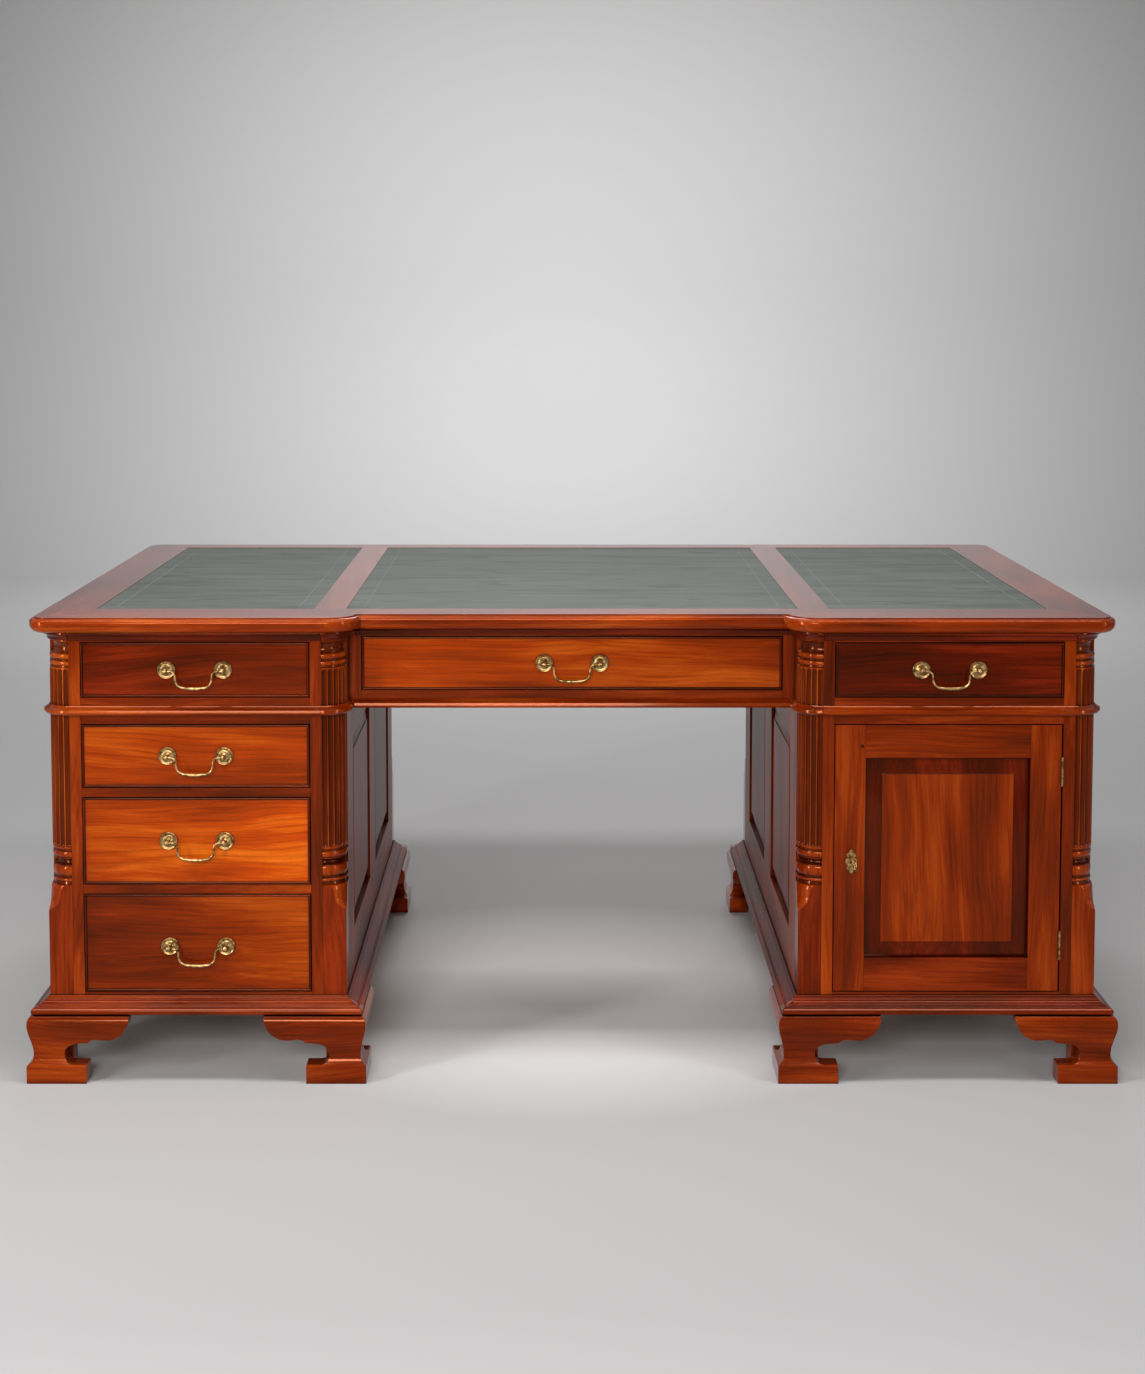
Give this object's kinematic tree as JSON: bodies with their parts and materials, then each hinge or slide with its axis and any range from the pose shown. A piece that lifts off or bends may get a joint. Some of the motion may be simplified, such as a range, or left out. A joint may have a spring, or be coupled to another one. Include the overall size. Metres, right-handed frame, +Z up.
{
  "type": "partners desk",
  "caption": "Breakfront partners desk with a leather-lined top, fluted quarter columns, drawers and cupboards on both sides, on ogee bracket feet.",
  "frame": {"origin": "on the floor under the middle of the desk", "axes": "+Z up, +X to the right of someone facing the front, the front faces -Y"},
  "size_m": [1.854, 1.1854, 0.796],
  "materials": {
    "mahogany": "french polished",
    "secondary_wood": "bare",
    "leather": "waxed hide",
    "brass": "aged"
  },
  "bodies": {
    "carcass": {"top_frame": "mahogany", "leather_panels": "leather", "leather_grounds": "secondary_wood", "frieze_frame": "mahogany", "frieze_columns": "mahogany", "cornice_moulding": "mahogany", "waist_moulding": "mahogany", "pedestal_frames": "mahogany", "side_panels": "mahogany", "pedestal_columns": "mahogany", "plinth_mouldings": "mahogany", "bracket_feet": "mahogany", "carcass_boards": "secondary_wood", "fixed_hinge_leaves": "brass"},
    "front_left_frieze_drawer": {"front_left_frieze_drawer": "mahogany", "front_left_frieze_drawer_posts": "brass"},
    "front_left_frieze_drawer_bail": {"front_left_frieze_drawer_bail": "brass"},
    "back_right_frieze_drawer": {"back_right_frieze_drawer": "mahogany", "back_right_frieze_drawer_posts": "brass"},
    "back_right_frieze_drawer_bail": {"back_right_frieze_drawer_bail": "brass"},
    "front_right_frieze_drawer": {"front_right_frieze_drawer": "mahogany", "front_right_frieze_drawer_posts": "brass"},
    "front_right_frieze_drawer_bail": {"front_right_frieze_drawer_bail": "brass"},
    "back_left_frieze_drawer": {"back_left_frieze_drawer": "mahogany", "back_left_frieze_drawer_posts": "brass"},
    "back_left_frieze_drawer_bail": {"back_left_frieze_drawer_bail": "brass"},
    "front_centre_frieze_drawer": {"front_centre_frieze_drawer": "mahogany", "front_centre_frieze_drawer_posts": "brass"},
    "front_centre_frieze_drawer_bail": {"front_centre_frieze_drawer_bail": "brass"},
    "back_centre_frieze_drawer": {"back_centre_frieze_drawer": "mahogany", "back_centre_frieze_drawer_posts": "brass"},
    "back_centre_frieze_drawer_bail": {"back_centre_frieze_drawer_bail": "brass"},
    "front_upper_drawer": {"front_upper_drawer": "mahogany", "front_upper_drawer_posts": "brass"},
    "front_upper_drawer_bail": {"front_upper_drawer_bail": "brass"},
    "back_upper_drawer": {"back_upper_drawer": "mahogany", "back_upper_drawer_posts": "brass"},
    "back_upper_drawer_bail": {"back_upper_drawer_bail": "brass"},
    "front_middle_drawer": {"front_middle_drawer": "mahogany", "front_middle_drawer_posts": "brass"},
    "front_middle_drawer_bail": {"front_middle_drawer_bail": "brass"},
    "back_middle_drawer": {"back_middle_drawer": "mahogany", "back_middle_drawer_posts": "brass"},
    "back_middle_drawer_bail": {"back_middle_drawer_bail": "brass"},
    "front_lower_drawer": {"front_lower_drawer": "mahogany", "front_lower_drawer_posts": "brass"},
    "front_lower_drawer_bail": {"front_lower_drawer_bail": "brass"},
    "back_lower_drawer": {"back_lower_drawer": "mahogany", "back_lower_drawer_posts": "brass"},
    "back_lower_drawer_bail": {"back_lower_drawer_bail": "brass"},
    "front_door": {"front_door_frame": "mahogany", "front_door_panel": "mahogany", "front_door_fittings": "brass"},
    "front_door_key": {"front_door_key": "brass"},
    "front_door_bolt": {"front_door_bolt": "brass"},
    "back_door": {"back_door_frame": "mahogany", "back_door_panel": "mahogany", "back_door_fittings": "brass"},
    "back_door_key": {"back_door_key": "brass"},
    "back_door_bolt": {"back_door_bolt": "brass"}
  },
  "joints": [
    {"name": "front_left_frieze_drawer_slide", "type": "slide", "parent": "carcass", "child": "front_left_frieze_drawer", "axis": [0, -1, 0], "range_m": [0, 0.35]},
    {"name": "front_left_frieze_drawer_bail_hinge", "type": "hinge", "parent": "front_left_frieze_drawer", "child": "front_left_frieze_drawer_bail", "pos_m": [-0.6385, -0.546, 0.70475], "axis": [-1, 0, 0], "range_deg": [0, 100]},
    {"name": "back_right_frieze_drawer_slide", "type": "slide", "parent": "carcass", "child": "back_right_frieze_drawer", "axis": [0, 1, 0], "range_m": [0, 0.35]},
    {"name": "back_right_frieze_drawer_bail_hinge", "type": "hinge", "parent": "back_right_frieze_drawer", "child": "back_right_frieze_drawer_bail", "pos_m": [0.6385, 0.546, 0.70475], "axis": [1, 0, 0], "range_deg": [0, 100]},
    {"name": "front_right_frieze_drawer_slide", "type": "slide", "parent": "carcass", "child": "front_right_frieze_drawer", "axis": [0, -1, 0], "range_m": [0, 0.35]},
    {"name": "front_right_frieze_drawer_bail_hinge", "type": "hinge", "parent": "front_right_frieze_drawer", "child": "front_right_frieze_drawer_bail", "pos_m": [0.6385, -0.546, 0.70475], "axis": [-1, 0, 0], "range_deg": [0, 100]},
    {"name": "back_left_frieze_drawer_slide", "type": "slide", "parent": "carcass", "child": "back_left_frieze_drawer", "axis": [0, 1, 0], "range_m": [0, 0.35]},
    {"name": "back_left_frieze_drawer_bail_hinge", "type": "hinge", "parent": "back_left_frieze_drawer", "child": "back_left_frieze_drawer_bail", "pos_m": [-0.6385, 0.546, 0.70475], "axis": [1, 0, 0], "range_deg": [0, 100]},
    {"name": "front_centre_frieze_drawer_slide", "type": "slide", "parent": "carcass", "child": "front_centre_frieze_drawer", "axis": [0, -1, 0], "range_m": [0, 0.35]},
    {"name": "front_centre_frieze_drawer_bail_hinge", "type": "hinge", "parent": "front_centre_frieze_drawer", "child": "front_centre_frieze_drawer_bail", "pos_m": [0, -0.476, 0.70475], "axis": [-1, 0, 0], "range_deg": [0, 100]},
    {"name": "back_centre_frieze_drawer_slide", "type": "slide", "parent": "carcass", "child": "back_centre_frieze_drawer", "axis": [0, 1, 0], "range_m": [0, 0.35]},
    {"name": "back_centre_frieze_drawer_bail_hinge", "type": "hinge", "parent": "back_centre_frieze_drawer", "child": "back_centre_frieze_drawer_bail", "pos_m": [0, 0.546, 0.70475], "axis": [1, 0, 0], "range_deg": [0, 100]},
    {"name": "front_upper_drawer_slide", "type": "slide", "parent": "carcass", "child": "front_upper_drawer", "axis": [0, -1, 0], "range_m": [0, 0.4]},
    {"name": "front_upper_drawer_bail_hinge", "type": "hinge", "parent": "front_upper_drawer", "child": "front_upper_drawer_bail", "pos_m": [-0.6385, -0.546, 0.55725], "axis": [-1, 0, 0], "range_deg": [0, 100]},
    {"name": "back_upper_drawer_slide", "type": "slide", "parent": "carcass", "child": "back_upper_drawer", "axis": [0, 1, 0], "range_m": [0, 0.4]},
    {"name": "back_upper_drawer_bail_hinge", "type": "hinge", "parent": "back_upper_drawer", "child": "back_upper_drawer_bail", "pos_m": [0.6385, 0.546, 0.55725], "axis": [1, 0, 0], "range_deg": [0, 100]},
    {"name": "front_middle_drawer_slide", "type": "slide", "parent": "carcass", "child": "front_middle_drawer", "axis": [0, -1, 0], "range_m": [0, 0.4]},
    {"name": "front_middle_drawer_bail_hinge", "type": "hinge", "parent": "front_middle_drawer", "child": "front_middle_drawer_bail", "pos_m": [-0.6385, -0.546, 0.411], "axis": [-1, 0, 0], "range_deg": [0, 100]},
    {"name": "back_middle_drawer_slide", "type": "slide", "parent": "carcass", "child": "back_middle_drawer", "axis": [0, 1, 0], "range_m": [0, 0.4]},
    {"name": "back_middle_drawer_bail_hinge", "type": "hinge", "parent": "back_middle_drawer", "child": "back_middle_drawer_bail", "pos_m": [0.6385, 0.546, 0.411], "axis": [1, 0, 0], "range_deg": [0, 100]},
    {"name": "front_lower_drawer_slide", "type": "slide", "parent": "carcass", "child": "front_lower_drawer", "axis": [0, -1, 0], "range_m": [0, 0.4]},
    {"name": "front_lower_drawer_bail_hinge", "type": "hinge", "parent": "front_lower_drawer", "child": "front_lower_drawer_bail", "pos_m": [-0.6385, -0.546, 0.22825], "axis": [-1, 0, 0], "range_deg": [0, 100]},
    {"name": "back_lower_drawer_slide", "type": "slide", "parent": "carcass", "child": "back_lower_drawer", "axis": [0, 1, 0], "range_m": [0, 0.4]},
    {"name": "back_lower_drawer_bail_hinge", "type": "hinge", "parent": "back_lower_drawer", "child": "back_lower_drawer_bail", "pos_m": [0.6385, 0.546, 0.22825], "axis": [1, 0, 0], "range_deg": [0, 100]},
    {"name": "front_door_hinge", "type": "hinge", "parent": "carcass", "child": "front_door", "pos_m": [0.83125, -0.5322, 0.3805], "axis": [0, 0, 1], "range_deg": [0, 170]},
    {"name": "front_door_key_turn", "type": "hinge", "parent": "front_door", "child": "front_door_key", "pos_m": [0.475, -0.53, 0.3805], "axis": [0, 1, 0], "range_deg": [0, 180]},
    {"name": "front_door_bolt_slide", "type": "slide", "parent": "front_door", "child": "front_door_bolt", "axis": [-1, 0, 0], "range_m": [0, 0.008]},
    {"name": "back_door_hinge", "type": "hinge", "parent": "carcass", "child": "back_door", "pos_m": [-0.83125, 0.5322, 0.3805], "axis": [0, 0, 1], "range_deg": [0, 170]},
    {"name": "back_door_key_turn", "type": "hinge", "parent": "back_door", "child": "back_door_key", "pos_m": [-0.475, 0.53, 0.3805], "axis": [0, -1, 0], "range_deg": [0, 180]},
    {"name": "back_door_bolt_slide", "type": "slide", "parent": "back_door", "child": "back_door_bolt", "axis": [1, 0, 0], "range_m": [0, 0.008]}
  ],
  "couplings": [
    {"joint": "front_door_key_turn", "follows": "front_door_bolt_slide", "rad_per_m": 392.69},
    {"joint": "back_door_key_turn", "follows": "back_door_bolt_slide", "rad_per_m": 392.69}
  ]
}
